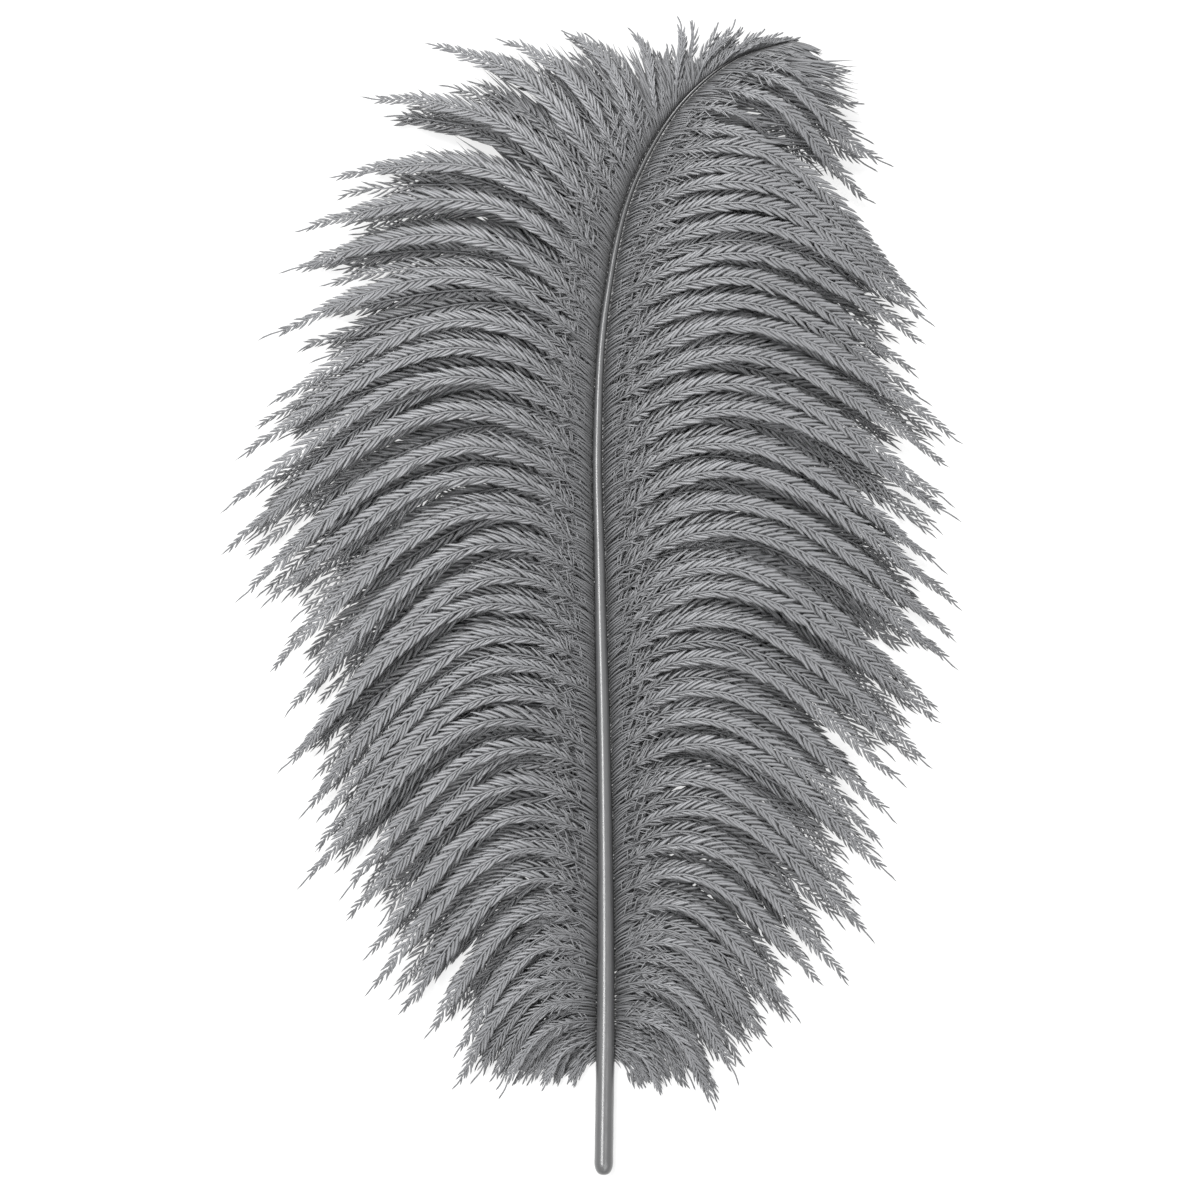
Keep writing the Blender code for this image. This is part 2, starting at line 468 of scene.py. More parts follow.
class Web:
    """The web on one side of the quill: its locks, and the lines of the barbs that grow at any place."""

    steps = 44
    seed = 29
    uneven = 0.9  # how unevenly the locks turn, in degrees
    trim = 0.12  # most that a lock is shortened: at the tip twice this on the right, and none on the left
    closing = math.radians(16)  # how much closer to the quill the barbs leave at its tip
    opening = math.radians(7)  # how far from its own chord a barb leaves at the left of the tip
    crest_power = 0.7  # how a barb's crest goes with its chord
    handle_lifts = (1.5, 0.8)  # heights of a barb's two bend handles, as shares of its crest
    held_up = 0.6  # height of the shortest barbs' ends, as a share of the quill's height there
    held_chords = (30 * MM, 60 * MM)  # chords over which that fades
    straighter = {LEFT: 1.1, RIGHT: 2.0}  # share of the droop lost at the tip; past 1 a barb turns up
    kept_at_tip = {LEFT: 0.9, RIGHT: 0.6}  # share of the lower barbs that grow beyond tip_place
    tip_place = 0.86
    bottom_barbs = 13  # barbs added to each lower layer where the bottom fans out
    bottom_span = (0.0, 0.13)
    gather_from = 0.42  # share of a barb where it starts to close on its lock

    def __init__(self, shaft, barbs, side):
        self.shaft, self.barbs, self.side = shaft, barbs, side
        rng = np.random.default_rng(self.seed + side)
        self.locks = (np.arange(barbs.locks) + 0.5) / barbs.locks
        self.turns = np.radians(rng.normal(0, self.uneven, barbs.locks))
        most = self.trim * (1 + side * ease(self.locks, *TIP_RAGGED))
        self.trims = 1 - most * rng.random(barbs.locks) ** 1.3

    def leave(self, places):
        """Angle between a barb and the quill: wide at the bottom, close at the tip."""
        barbs = self.barbs
        low = (barbs.low_leave - barbs.leave) * (1 - ease(places, *BOTTOM_FAN))
        usual = barbs.leave + low - self.closing * ease(places, *TIP)
        if self.side == RIGHT:
            return usual
        out, _ = web_chord(self.side, places)
        along_chord = out - self.shaft.heading(quill_share(places)) + self.opening
        return usual + (along_chord - usual) * ease(places, *TIP_ALONG_CHORD)

    def lines(self, places, turns, trims, rise, end):
        """Centre lines of barbs: an array of barb, step, xyz."""
        shaft, barbs, side = self.shaft, self.barbs, self.side
        out, length = web_chord(side, places)
        length, out = length * trims, out + side * turns
        share = quill_share(places)
        heading, centre, radius = shaft.heading(share), shaft.point(share), shaft.radius(share)
        root = centre + level(heading - side * math.pi / 2) * (radius * ROOT_OUT)[:, None]
        root[:, 2] -= BARB_SINK * radius
        tip = centre + level(out) * length[:, None]
        scale = (length / FULL_CHORD) ** self.crest_power
        held = self.held_up * (1 - ease(length, *self.held_chords))
        tip[:, 2] = end * MM * scale + 0.6 * MM + held * centre[:, 2]
        crest = barbs.crest * scale * rise * (1 - 0.5 * held)
        first = root + level(heading - side * self.leave(places)) * (barbs.out_handle * length)[:, None]
        first[:, 2] = root[:, 2] + self.handle_lifts[0] * crest
        chord = tip - centre
        straighter = ease(places, *TIP_STRAIGHT) * self.straighter[side]
        droop = np.arctan2(chord[:, 1], chord[:, 0]) - side * barbs.droop * (1 - straighter)
        last = tip - level(droop) * (barbs.in_handle * length)[:, None]
        last[:, 2] = 0.5 * root[:, 2] + self.handle_lifts[1] * crest
        t = np.linspace(0, 1, self.steps)[None, :, None]
        a, b, c, d = (p[:, None, :] for p in (root, first, last, tip))
        return a * (1 - t) ** 3 + 3 * b * t * (1 - t) ** 2 + 3 * c * t**2 * (1 - t) + d * t**3

    def layer_places(self, layer, rng):
        """Places of one layer's barbs: beside each lock, thinned at the tip and thicker at the bottom."""
        count = len(self.locks)
        places = (self.locks[:, None] + np.array(layer["offsets"]) / count).ravel()
        places = places + rng.normal(0, 0.07 / count, len(places))
        if layer["gather"]:
            kept = rng.random(len(places)) < self.kept_at_tip[self.side]
            places = places[(places < self.tip_place) | kept]
            places = np.concatenate([places, rng.uniform(*self.bottom_span, self.bottom_barbs)])
        return np.clip(places, 0.002, 0.998)

    def layer(self, layer, rng):
        """Centre lines of one layer of barbs, gathered to their locks and waved at their ends."""
        places = self.layer_places(layer, rng)
        count = len(places)
        lock = np.abs(places[:, None] - self.locks[None]).argmin(axis=1)
        turns = self.turns[lock] + np.radians(rng.normal(0, layer["stray"], count))
        stubby = 1 - web_chord(self.side, places)[1] / FULL_CHORD
        shorter = 1 - rng.uniform(*layer["short"], count) * (1 + stubby)
        rise = layer["rise"] * rng.uniform(0.93, 1.05, count)
        end = layer["end"] * rng.uniform(0.7, 1.2, count)
        own = self.lines(places, turns, self.trims[lock] * shorter, rise, end)
        t = np.linspace(0, 1, self.steps)
        guide = self.guides(lock, t, shorter)
        gather = layer["gather"] * rng.uniform(0.7, 1.25, count) * (0.35 + 0.65 * ease(places, 0.03, 0.2))
        begin = np.full(count, self.gather_from)
        if self.side == LEFT:
            gather = gather * (1 - 0.5 * ease(places, *LEFT_FAN))
        elif layer["gather"]:
            tight = ease(places, *TIP_TIGHT)
            gather = np.minimum(gather + 0.5 * tight, 1.0)
            begin -= 0.2 * tight
        weight = gather[:, None] * ease(t[None], begin[:, None], 1.0)
        own[:, :, :2] += (guide - own)[:, :, :2] * weight[:, :, None]
        return self.wave(own, t, rng)

    def guides(self, lock, t, shorter):
        """The line of each barb's lock, read as far out as the barb reaches at each step."""
        guide = self.lines(self.locks, self.turns, self.trims, 1.0, 4.0)[lock]
        at = t[None, :] * shorter[:, None] * (self.steps - 1)
        low = np.minimum(at.astype(int), self.steps - 2)
        part = (at - low)[:, :, None]
        rows = np.arange(len(lock))[:, None]
        return guide[rows, low] * (1 - part) + guide[rows, low + 1] * part

    def wave(self, lines, t, rng):
        """Bends the lines a little to one side and waves their ends."""
        count = len(lines)
        chord = lines[:, -1] - lines[:, 0]
        length = np.linalg.norm(chord[:, :2], axis=1)[:, None]
        aside = np.stack([-chord[:, 1], chord[:, 0]], axis=-1) / length
        bend = rng.normal(0, 0.012, count)[:, None] * length * (t**2)[None]
        phase, beats = rng.uniform(0, 6.3, (2, count, 1)), rng.uniform(0.11, 0.19, (count, 1)) / MM
        turn = beats * length * t[None]
        swing = np.sin(turn * 2 + phase[0]) + 0.5 * np.sin(turn * 4.7 + phase[1])
        height = self.barbs.wave * np.minimum(1.0, length / (60 * MM)) * ease(t, 0.62, 1.0)[None]
        lines[:, :, :2] += aside[:, None, :] * (bend + swing * height)[:, :, None]
        return lines


# -------------------------------------------------------------------------------------- fibres into meshes


class Fibres:
    """Gathers tapered fibres, each closed to a point at both ends, and makes one mesh of them."""

    cell_margin = 0.08  # empty rim of a fibre's cell in the map

    def __init__(self):
        self.batches = []
        self.count = 0

    def add(self, lines, radii, across, flatness, sides, **values):
        """Adds fibres along lines (fibre, step, xyz) with radii (fibre, step). The width runs across, and the
        thickness is flatness of it. values are numbers kept at each vertex, one for each fibre or step."""
        count, steps = lines.shape[:2]
        tangent = unit(np.gradient(lines, axis=1))
        across = unit(across - (across * tangent).sum(-1, keepdims=True) * tangent)
        upward = np.cross(tangent, across)
        turn = 2 * math.pi * np.arange(sides) / sides + math.pi / 2
        wide = (np.cos(turn)[None, None, :, None] * across[:, 1:-1, None, :]) * radii[:, 1:-1, None, None]
        tall = (np.sin(turn)[None, None, :, None] * upward[:, 1:-1, None, :]) * radii[:, 1:-1, None, None]
        rings = lines[:, 1:-1, None, :] + wide + tall * flatness
        rings = rings.reshape(count, (steps - 2) * sides, 3)
        points = np.concatenate([lines[:, :1], rings, lines[:, -1:]], axis=1)
        values["along"] = np.broadcast_to(np.linspace(0, 1, steps), (count, steps))
        kept = {}
        for name, value in values.items():
            full = np.broadcast_to(np.asarray(value, float).reshape(count, -1), (count, steps))
            middle = np.repeat(full[:, 1:-1], sides, axis=1)
            kept[name] = np.concatenate([full[:, :1], middle, full[:, -1:]], axis=1)
        self.batches.append((points, steps, sides, kept))
        self.count += count

    def mesh(self, name):
        """One mesh of all the fibres, with a map that gives each fibre its own small cell."""
        grid = math.ceil(math.sqrt(self.count))
        corners, sizes, uvs, first, cell = [], [], [], 0, 0
        for points, steps, sides, _ in self.batches:
            count, per = points.shape[:2]
            starts = first + per * np.arange(count)
            cells = cell + np.arange(count)
            corner = np.stack([cells % grid, cells // grid], axis=-1)[:, None, None, :]
            for face, place in zip(*fibre_faces(steps, sides)):
                corners.append((starts[:, None, None] + face[None]).reshape(-1))
                sizes.append(np.full(count * len(face), face.shape[1]))
                inset = self.cell_margin + (1 - 2 * self.cell_margin) * place[None]
                uvs.append(((corner + inset) / grid).reshape(-1, 2))
            first += per * count
            cell += count
        vertices = np.concatenate([points.reshape(-1, 3) for points, *_ in self.batches])
        corners, sizes = np.concatenate(corners), np.concatenate(sizes)
        mesh = bpy.data.meshes.new(name)
        mesh.vertices.add(len(vertices))
        mesh.vertices.foreach_set("co", vertices.astype(np.float32).ravel())
        mesh.loops.add(len(corners))
        mesh.loops.foreach_set("vertex_index", corners.astype(np.int32))
        mesh.polygons.add(len(sizes))
        starts = np.concatenate([[0], np.cumsum(sizes)[:-1]])
        mesh.polygons.foreach_set("loop_start", starts.astype(np.int32))
        mesh.update(calc_edges=True)
        mesh.validate()
        layer = mesh.uv_layers.new(name="OFBake")
        layer.uv.foreach_set("vector", np.concatenate(uvs).astype(np.float32).ravel())
        for key in self.batches[0][3]:
            value = np.concatenate([kept[key].reshape(-1) for *_, kept in self.batches])
            keep_at_points(mesh, key, value)
        mesh.shade_smooth()
        return mesh


def keep_at_points(mesh, name, values):
    """Keeps one number at each point of the mesh, for its finish to read."""
    held = mesh.attributes.new(name, "FLOAT", "POINT")
    held.data.foreach_set("value", values.astype(np.float32))


def fibre_faces(steps, sides):
    """Faces of one fibre as corner numbers, and the place of each corner in the fibre's cell."""
    k = np.arange(sides)
    after = (k + 1) % sides
    rings = steps - 2
    last = 1 + rings * sides
    end_ring = last - sides
    start = np.stack([np.zeros(sides, int), 1 + after, 1 + k], axis=-1)
    end = np.stack([end_ring + k, end_ring + after, np.full(sides, last)], axis=-1)
    r = np.arange(rings - 1)[:, None]
    low, high = 1 + r * sides, 1 + (r + 1) * sides
    walls = np.stack([low + k, low + after, high + after, high + k], axis=-1).reshape(-1, 4)
    u = np.arange(steps) / (steps - 1)
    near, far = k / sides, (k + 1) / sides
    half = (near + far) / 2

    def at(us, vs):
        return np.stack(np.broadcast_arrays(us, vs), axis=-1)

    start_uv = np.stack([at(u[0], half), at(u[1], far), at(u[1], near)], axis=1)
    end_uv = np.stack([at(u[-2], near), at(u[-2], far), at(u[-1], half)], axis=1)
    lower, upper = u[1:-2][:, None], u[2:-1][:, None]
    wall_uv = np.stack([at(lower, near), at(lower, far), at(upper, far), at(upper, near)], axis=2)
    return (start, walls, end), (start_uv, wall_uv.reshape(-1, 4, 2), end_uv)


def add_piece(name, mesh, material):
    """Puts a mesh in the scene as a piece of the feather."""
    piece = bpy.data.objects.new(name, mesh)
    bpy.context.scene.collection.objects.link(piece)
    mesh.materials.append(material)
    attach(piece, BODY)
    return piece


def off_floor(lines, least=LEAST_HEIGHT):
    """Keeps lines at least this far above the surface, easing down to it."""
    z = lines[..., 2]
    lines[..., 2] = np.where(z < 2 * least, least * np.exp(np.minimum(z / (2 * least) - 1, 0) * 2) + least, z)
    return lines


class Barb:
    """One barb's centre line, read by distance from the quill."""

    full_length = 110 * MM  # a barb this long has barbules of full size
    down_swell = ((0, 0.17, 0.45, 0.76, 1), (0, 0.85, 1.0, 0.72, 0))  # width of a barbule along it
    down_steps = {2: (0, 0.26, 0.66, 1.0), 3: (0, 0.17, 0.45, 0.76, 1.0)}  # its steps, by number of rings
    least_crossed = 50 * MM  # shorter barbs have no crossing barbules
    crossing_pitch = 1.9 * MM

    def __init__(self, line):
        self.line = line
        self.along = np.concatenate([[0], np.cumsum(np.linalg.norm(np.diff(line, axis=0), axis=1))])
        self.length = self.along[-1]
        self.slope = np.gradient(line, self.along, axis=0)
        self.full = min(1.0, self.length / self.full_length)

    def read(self, values, at):
        """Values along the barb, such as its line or slope, at these distances from the quill."""
        return np.stack([np.interp(at, self.along, values[:, k]) for k in range(3)], axis=-1)

    def add_barbules(self, fibres, at, hand, size, width, spread, fall, flatness, sides, rings, rng):
        """Barbules that leave the barb at these distances, to one hand or the other."""
        base, tangent = self.read(self.line, at), unit(self.read(self.slope, at))
        level_side = np.cross(tangent, [0, 0, 1.0])
        sideways = unit(level_side) * hand[:, None]
        upward = unit(np.cross(level_side, tangent))

        def aim(angle, down):
            out = sideways * np.cos(down)[:, None] - upward * np.sin(down)[:, None]
            return tangent * np.cos(angle)[:, None] + out * np.sin(angle)[:, None]

        first, last = aim(spread * 1.3, fall * 0.6), aim(spread * 0.7, fall * 1.3)
        u = np.array(self.down_steps[rings])
        path = first[:, None, :] * (u * (1 - 0.5 * u))[None, :, None]
        path = path + last[:, None, :] * (0.5 * u * u)[None, :, None]
        lines = off_floor(base[:, None, :] + path * size[:, None, None], 0.9 * LEAST_HEIGHT)
        radii = width[:, None] * np.interp(u, *self.down_swell)[None, :]
        across = np.cross(upward, first)[:, None, :]
        tone = rng.random(len(at))
        fibres.add(lines, radii, across, flatness, sides, reach=at / self.length, tone=tone)

    def dress(self, fibres, barbules, layer, hair, rng):
        """All the barbules of the barb: the vane along it, and the short crossing ones near the quill."""
        full = self.full
        scale = 0.52 + 0.48 * full
        tangle = min(barbules.tangle, 0.3 * self.length)
        start = max(0.62 * tangle, layer["bare"] * self.length) * rng.uniform(0.85, 1.1)
        stop = self.length - hair * rng.uniform(0.6, 1.3) * min(1.0, self.length / (50 * MM))
        pitch = barbules.pitch * layer["close"] * (0.78 + 0.22 * full)
        per_side = max(int((stop - start) / pitch), 2)
        at = np.linspace(start, stop, per_side)
        at = np.concatenate([at, at + pitch / 2]) + rng.normal(0, 0.12 * pitch, 2 * per_side)
        at = np.clip(at, start, self.length - 1 * MM)
        count = len(at)
        reach = at / self.length
        grown = 0.5 + 0.5 * ease(at, 0.6 * tangle, 1.7 * tangle)
        waning = 1 - barbules.waning * ease(reach, 0.6, 1.04)
        finer = (0.6 + 0.4 * full) * (0.7 + 0.3 * grown) * (1 - 0.44 * ease(reach, 0.55, 1))
        closer = (0.46 + 0.54 * full) * (1 - 0.3 * ease(reach, 0.65, 1))
        lifted = 1 - 0.75 * ease(reach, 0.3, 0.65)
        size = barbules.length * layer["long"] * scale * grown * waning * rng.uniform(0.85, 1.12, count)
        width = barbules.radius * layer["wide"] * finer * rng.uniform(0.85, 1.1, count)
        spread = barbules.spread * closer * rng.uniform(0.82, 1.2, count)
        fall = np.radians(layer["fall"] * lifted + rng.normal(0, 7, count))
        hand = np.repeat([1.0, -1.0], per_side)
        make = layer["sides"], layer["rings"], rng
        self.add_barbules(fibres, at, hand, size, width, spread, fall, barbules.flatness, *make)
        if self.length >= self.least_crossed and layer["rise"] >= 0.4:
            self.add_crossing(fibres, barbules.flatness, tangle, scale, rng)

    def add_crossing(self, fibres, flatness, tangle, scale, rng):
        """Short fine barbules near the quill that cross each other at wide angles."""
        count = 2 * int(0.8 * tangle / self.crossing_pitch)
        at = rng.uniform(0.25 * tangle, 1.05 * tangle, count)
        hand = np.where(np.arange(count) % 2, 1.0, -1.0)
        size = rng.uniform(5.0, 9.0, count) * MM * scale
        width = rng.uniform(0.30, 0.42, count) * MM
        spread = np.radians(rng.uniform(18, 52, count))
        fall = np.radians(rng.uniform(-8, 14, count))
        self.add_barbules(fibres, at, hand, size, width, spread, fall, flatness, 3, 2, rng)

    def add_stem(self, fibres, barbs, rng):
        """The stem of the barb: thick at the quill and hair-fine at its end."""
        u = np.concatenate([np.linspace(0, 0.75, 14, endpoint=False), np.linspace(0.75, 1, 12)])
        line = self.read(self.line, u * self.length)
        radii = barbs.hair_radius + (barbs.root_radius - barbs.hair_radius) * (1 - u) ** 1.2
        radii = radii * (1 - ease(u, 0.985, 1))
        across = np.cross(np.gradient(line, axis=0), [0, 0, 1.0])[None]
        fibres.add(line[None], radii[None], across, 0.9, 3, reach=u[None], tone=rng.random(1))


# ----------------------------------------------------------------------------------------------- finishes


def new_material(name):
    """An empty node material and its main shader."""
    made = bpy.data.materials.new(name)
    made.use_nodes = True
    return made, made.node_tree.nodes["Principled BSDF"]


def node(tree, kind, inputs=None, **settings):
    """A new node. inputs are socket values, or sockets to link from."""
    made = tree.nodes.new(kind)
    for key, value in settings.items():
        setattr(made, key, value)
    for key, value in (inputs or {}).items():
        if isinstance(value, bpy.types.NodeSocket):
            tree.links.new(value, made.inputs[key])
        else:
            made.inputs[key].default_value = value
    return made


def ramp(tree, source, stops):
    """A colour ramp through (place, grey) stops."""
    made = node(tree, "ShaderNodeValToRGB", {"Fac": source})
    elements = made.color_ramp.elements
    while len(elements) < len(stops):
        elements.new(0.5)
    for element, (place, grey) in zip(elements, stops):
        element.position = place
        element.color = (grey, grey, grey, 1)
    return made.outputs["Color"]


def mixed(tree, factor, first, second, blend="MIX"):
    """Two colours mixed. Each is a colour or a socket."""
    inputs = {"Factor": factor, 6: first, 7: second}
    return node(tree, "ShaderNodeMix", inputs, data_type="RGBA", blend_type=blend).outputs[2]


def kept_value(tree, name):
    """The number of this name that the mesh keeps at its points."""
    return node(tree, "ShaderNodeAttribute", attribute_name=name).outputs["Fac"]


def noise(tree, vector, scale, detail):
    """Cloudy noise between 0 and 1."""
    inputs = {"Vector": vector, "Scale": scale, "Detail": detail}
    return node(tree, "ShaderNodeTexNoise", inputs).outputs["Fac"]


def down_finish(finish, name, shade, root_shade=0.62):
    """Soft matt down: each fibre has its own tone and painted shade at its root, each barb has painted shade
    near the quill and is darker at its outer end, and the whole finish is darkened by painted shade for
    fibres that lie lower or on the quill's shaded side.
    """
    made, surface = new_material(name)
    tree = made.node_tree
    tone, along, reach = (kept_value(tree, kept) for kept in ("tone", "along", "reach"))
    cloud = noise(tree, node(tree, "ShaderNodeTexCoord").outputs["Object"], 55.0, 3.0)
    own = node(tree, "ShaderNodeMath", {0: tone, 1: 0.3, 2: 0.13}, operation="MULTIPLY_ADD").outputs[0]
    light = node(tree, "ShaderNodeMath", {0: cloud, 1: 0.45, 2: own}, operation="MULTIPLY_ADD").outputs[0]
    colour = mixed(tree, light, (*finish.down_dark, 1), (*finish.down, 1))
    # Painted shade: the whole finish darker for fibres that lie lower, and each fibre darker at its root,
    # where it leaves its barb or the quill.
    painted_shade_steps = [shade * (root_shade + part * (1 - root_shade)) for part in (0.0, 0.3, 0.8, 1.1)]
    root = ramp(tree, along, tuple(zip((0.0, 0.22, 0.55, 1.0), painted_shade_steps)))
    # Painted shade near the quill at the start of each barb; the barb is also darker at its outer end.
    end = ramp(tree, reach, ((0.0, 0.80), (0.25, 1.0), (0.78, 0.96), (1.0, 0.62)))
    colour = mixed(tree, 1.0, mixed(tree, 1.0, colour, root, "MULTIPLY"), end, "MULTIPLY")
    tree.links.new(colour, surface.inputs["Base Color"])
    rough = node(tree, "ShaderNodeMapRange", {"Value": tone, "To Min": 0.38, "To Max": 0.50})
    tree.links.new(rough.outputs["Result"], surface.inputs["Roughness"])
    surface.inputs["Specular IOR Level"].default_value = 0.38
    surface.inputs["Sheen Weight"].default_value = 0.1
    surface.inputs["Sheen Roughness"].default_value = 0.5
    return made


def barb_finish(finish, layer):
    """The finish of one layer of barbs, the same on both sides, darkened by the layer's painted shade."""
    name = f"barb_down_{layer}"
    return bpy.data.materials.get(name) or down_finish(finish, name, LAYERS[layer]["shade"])


def keratin_finish(finish):
    """Satin keratin: fine streaks along the quill, faint cloudiness, a painted highlight along its top with
    painted shade down its sides, and a dark tip.
    """
    made, surface = new_material("quill_keratin")
    tree = made.node_tree
    reach, around = kept_value(tree, "reach"), kept_value(tree, "around")
    flow = node(tree, "ShaderNodeCombineXYZ", {"X": around, "Y": reach}).outputs[0]
    streaks = node(tree, "ShaderNodeMapping", {"Vector": flow, "Scale": (26.0, 14.0, 1.0)}).outputs[0]
    fine = noise(tree, streaks, 1.0, 4.0)
    cloud = noise(tree, node(tree, "ShaderNodeTexCoord").outputs["Object"], 90.0, 2.0)
    both = node(tree, "ShaderNodeMath", {0: fine, 1: cloud}, operation="MULTIPLY").outputs[0]
    tint = ramp(tree, both, ((0.1, 0.86), (0.45, 1.06)))
    # Painted highlight along the quill's top and painted shade down its sides.
    sides = ramp(tree, around, ((0.5, 0.10), (0.62, 0.33), (0.78, 0.66), (0.9, 0.84), (1.0, 1.0)))
    dark = ramp(tree, reach, ((0.72, 0.0), (0.9, 1.0)))
    colour = mixed(tree, dark, (*finish.keratin, 1), (*finish.keratin_dark, 1))
    colour = mixed(tree, 1.0, mixed(tree, 1.0, colour, tint, "MULTIPLY"), sides, "MULTIPLY")
    tree.links.new(colour, surface.inputs["Base Color"])
    tree.links.new(ramp(tree, reach, ((0.66, 1.0), (0.8, 0.12))), surface.inputs["Coat Weight"])
    surface.inputs["Coat IOR"].default_value = 1.6
    surface.inputs["Coat Roughness"].default_value = 0.24
    rough = node(tree, "ShaderNodeMapRange", {"Value": cloud, "To Min": 0.32, "To Max": 0.42})
    tree.links.new(rough.outputs["Result"], surface.inputs["Roughness"])
    bump = node(tree, "ShaderNodeBump", {"Height": fine, "Strength": 0.12, "Distance": 0.0004})
    tree.links.new(bump.outputs["Normal"], surface.inputs["Normal"])
    return made


def plain_finish(name, colour, roughness):
    """A finish of one colour, for the stage."""
    made, surface = new_material(name)
    surface.inputs["Base Color"].default_value = (*colour, 1)
    surface.inputs["Roughness"].default_value = roughness
    surface.inputs["Specular IOR Level"].default_value = 0.2
    return made


# ---------------------------------------------------------------------------------------------- operators


class PLUME_OT_add_quill(bpy.types.Operator):
    """Add the quill: a tapered shaft with a rounded butt and faint growth swellings"""

    bl_idname = "plume.add_quill"
    bl_label = "Add Quill"

    nose_steps, steps, sides = 10, 240, 24
    bluntness = 0.7  # power of the nose's profile: 1 is round, less is blunter
    slow_pitch = 3.7  # pitch of the slow swelling beside the quick one

    def execute(self, context):
        settings = context.scene.plume_quill
        shaft = Shaft(settings)
        nose = settings.nose / shaft.length
        turn = np.linspace(0, math.pi / 2, self.nose_steps, endpoint=False)
        share = np.concatenate([nose * (1 - np.cos(turn)), np.linspace(nose, 1, self.steps)])
        profile = np.concatenate([np.sin(turn) ** self.bluntness, np.ones(self.steps)])
        beats = 2 * math.pi * share * shaft.length / settings.swelling_pitch
        swelling = settings.swelling * (0.3 * np.sin(beats) + 0.2 * np.sin(beats / self.slow_pitch + 1.3))
        radii = shaft.radius(share) * profile * (1 + swelling)
        radii[-1] = 0
        line = shaft.point(share)
        line[:, 2] += np.maximum(radii - shaft.radius(share), 0)
        fibres = Fibres()
        across = np.cross(np.gradient(line, axis=0), [0, 0, 1.0])[None]
        fibres.add(line[None], radii[None], across, 1.0, self.sides, reach=share[None])
        mesh = fibres.mesh("quill_shaft")
        # around lets the quill's finish paint a highlight along the top and shade down the sides.
        ring = np.abs(2 * np.arange(self.sides) / self.sides - 1)  # 1 at the quill's top, 0 underneath
        keep_at_points(mesh, "around", np.concatenate([[0.0], np.tile(ring, len(share) - 2), [0.0]]))
        piece = add_piece("quill_shaft", mesh, keratin_finish(context.scene.plume_finish))
        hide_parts("quill")
        return {"FINISHED"}


SIDE_ITEMS = (("left", "Left", "The left web"), ("right", "Right", "The right web"))
SIDES = {"left": LEFT, "right": RIGHT}
LAYER_ITEMS = tuple((name, name.title(), f"The {name} barbs") for name in LAYERS)


class PLUME_OT_add_barbs(bpy.types.Operator):
    """Add one layer of barbs down one side of the quill, each with its barbules"""

    bl_idname = "plume.add_barbs"
    bl_label = "Add Barbs"

    side: EnumProperty(name="Side", description="Which web", items=SIDE_ITEMS)
    layer: EnumProperty(name="Layer", description="Which layer of barbs", items=LAYER_ITEMS)

    def execute(self, context):
        scene = context.scene
        side, layer = SIDES[self.side], LAYERS[self.layer]
        rng = np.random.default_rng(17 * list(LAYERS).index(self.layer) + 4 + side)
        web = Web(Shaft(scene.plume_quill), scene.plume_barbs, side)
        fibres = Fibres()
        for line in off_floor(web.layer(layer, rng)):
            barb = Barb(line)
            barb.add_stem(fibres, scene.plume_barbs, rng)
            barb.dress(fibres, scene.plume_barbules, layer, scene.plume_barbs.hair, rng)
        name = f"{self.side}_barbs_{self.layer}"
        piece = add_piece(name, fibres.mesh(name), barb_finish(scene.plume_finish, self.layer))
        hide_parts(f"web_{self.side}")
        return {"FINISHED"}


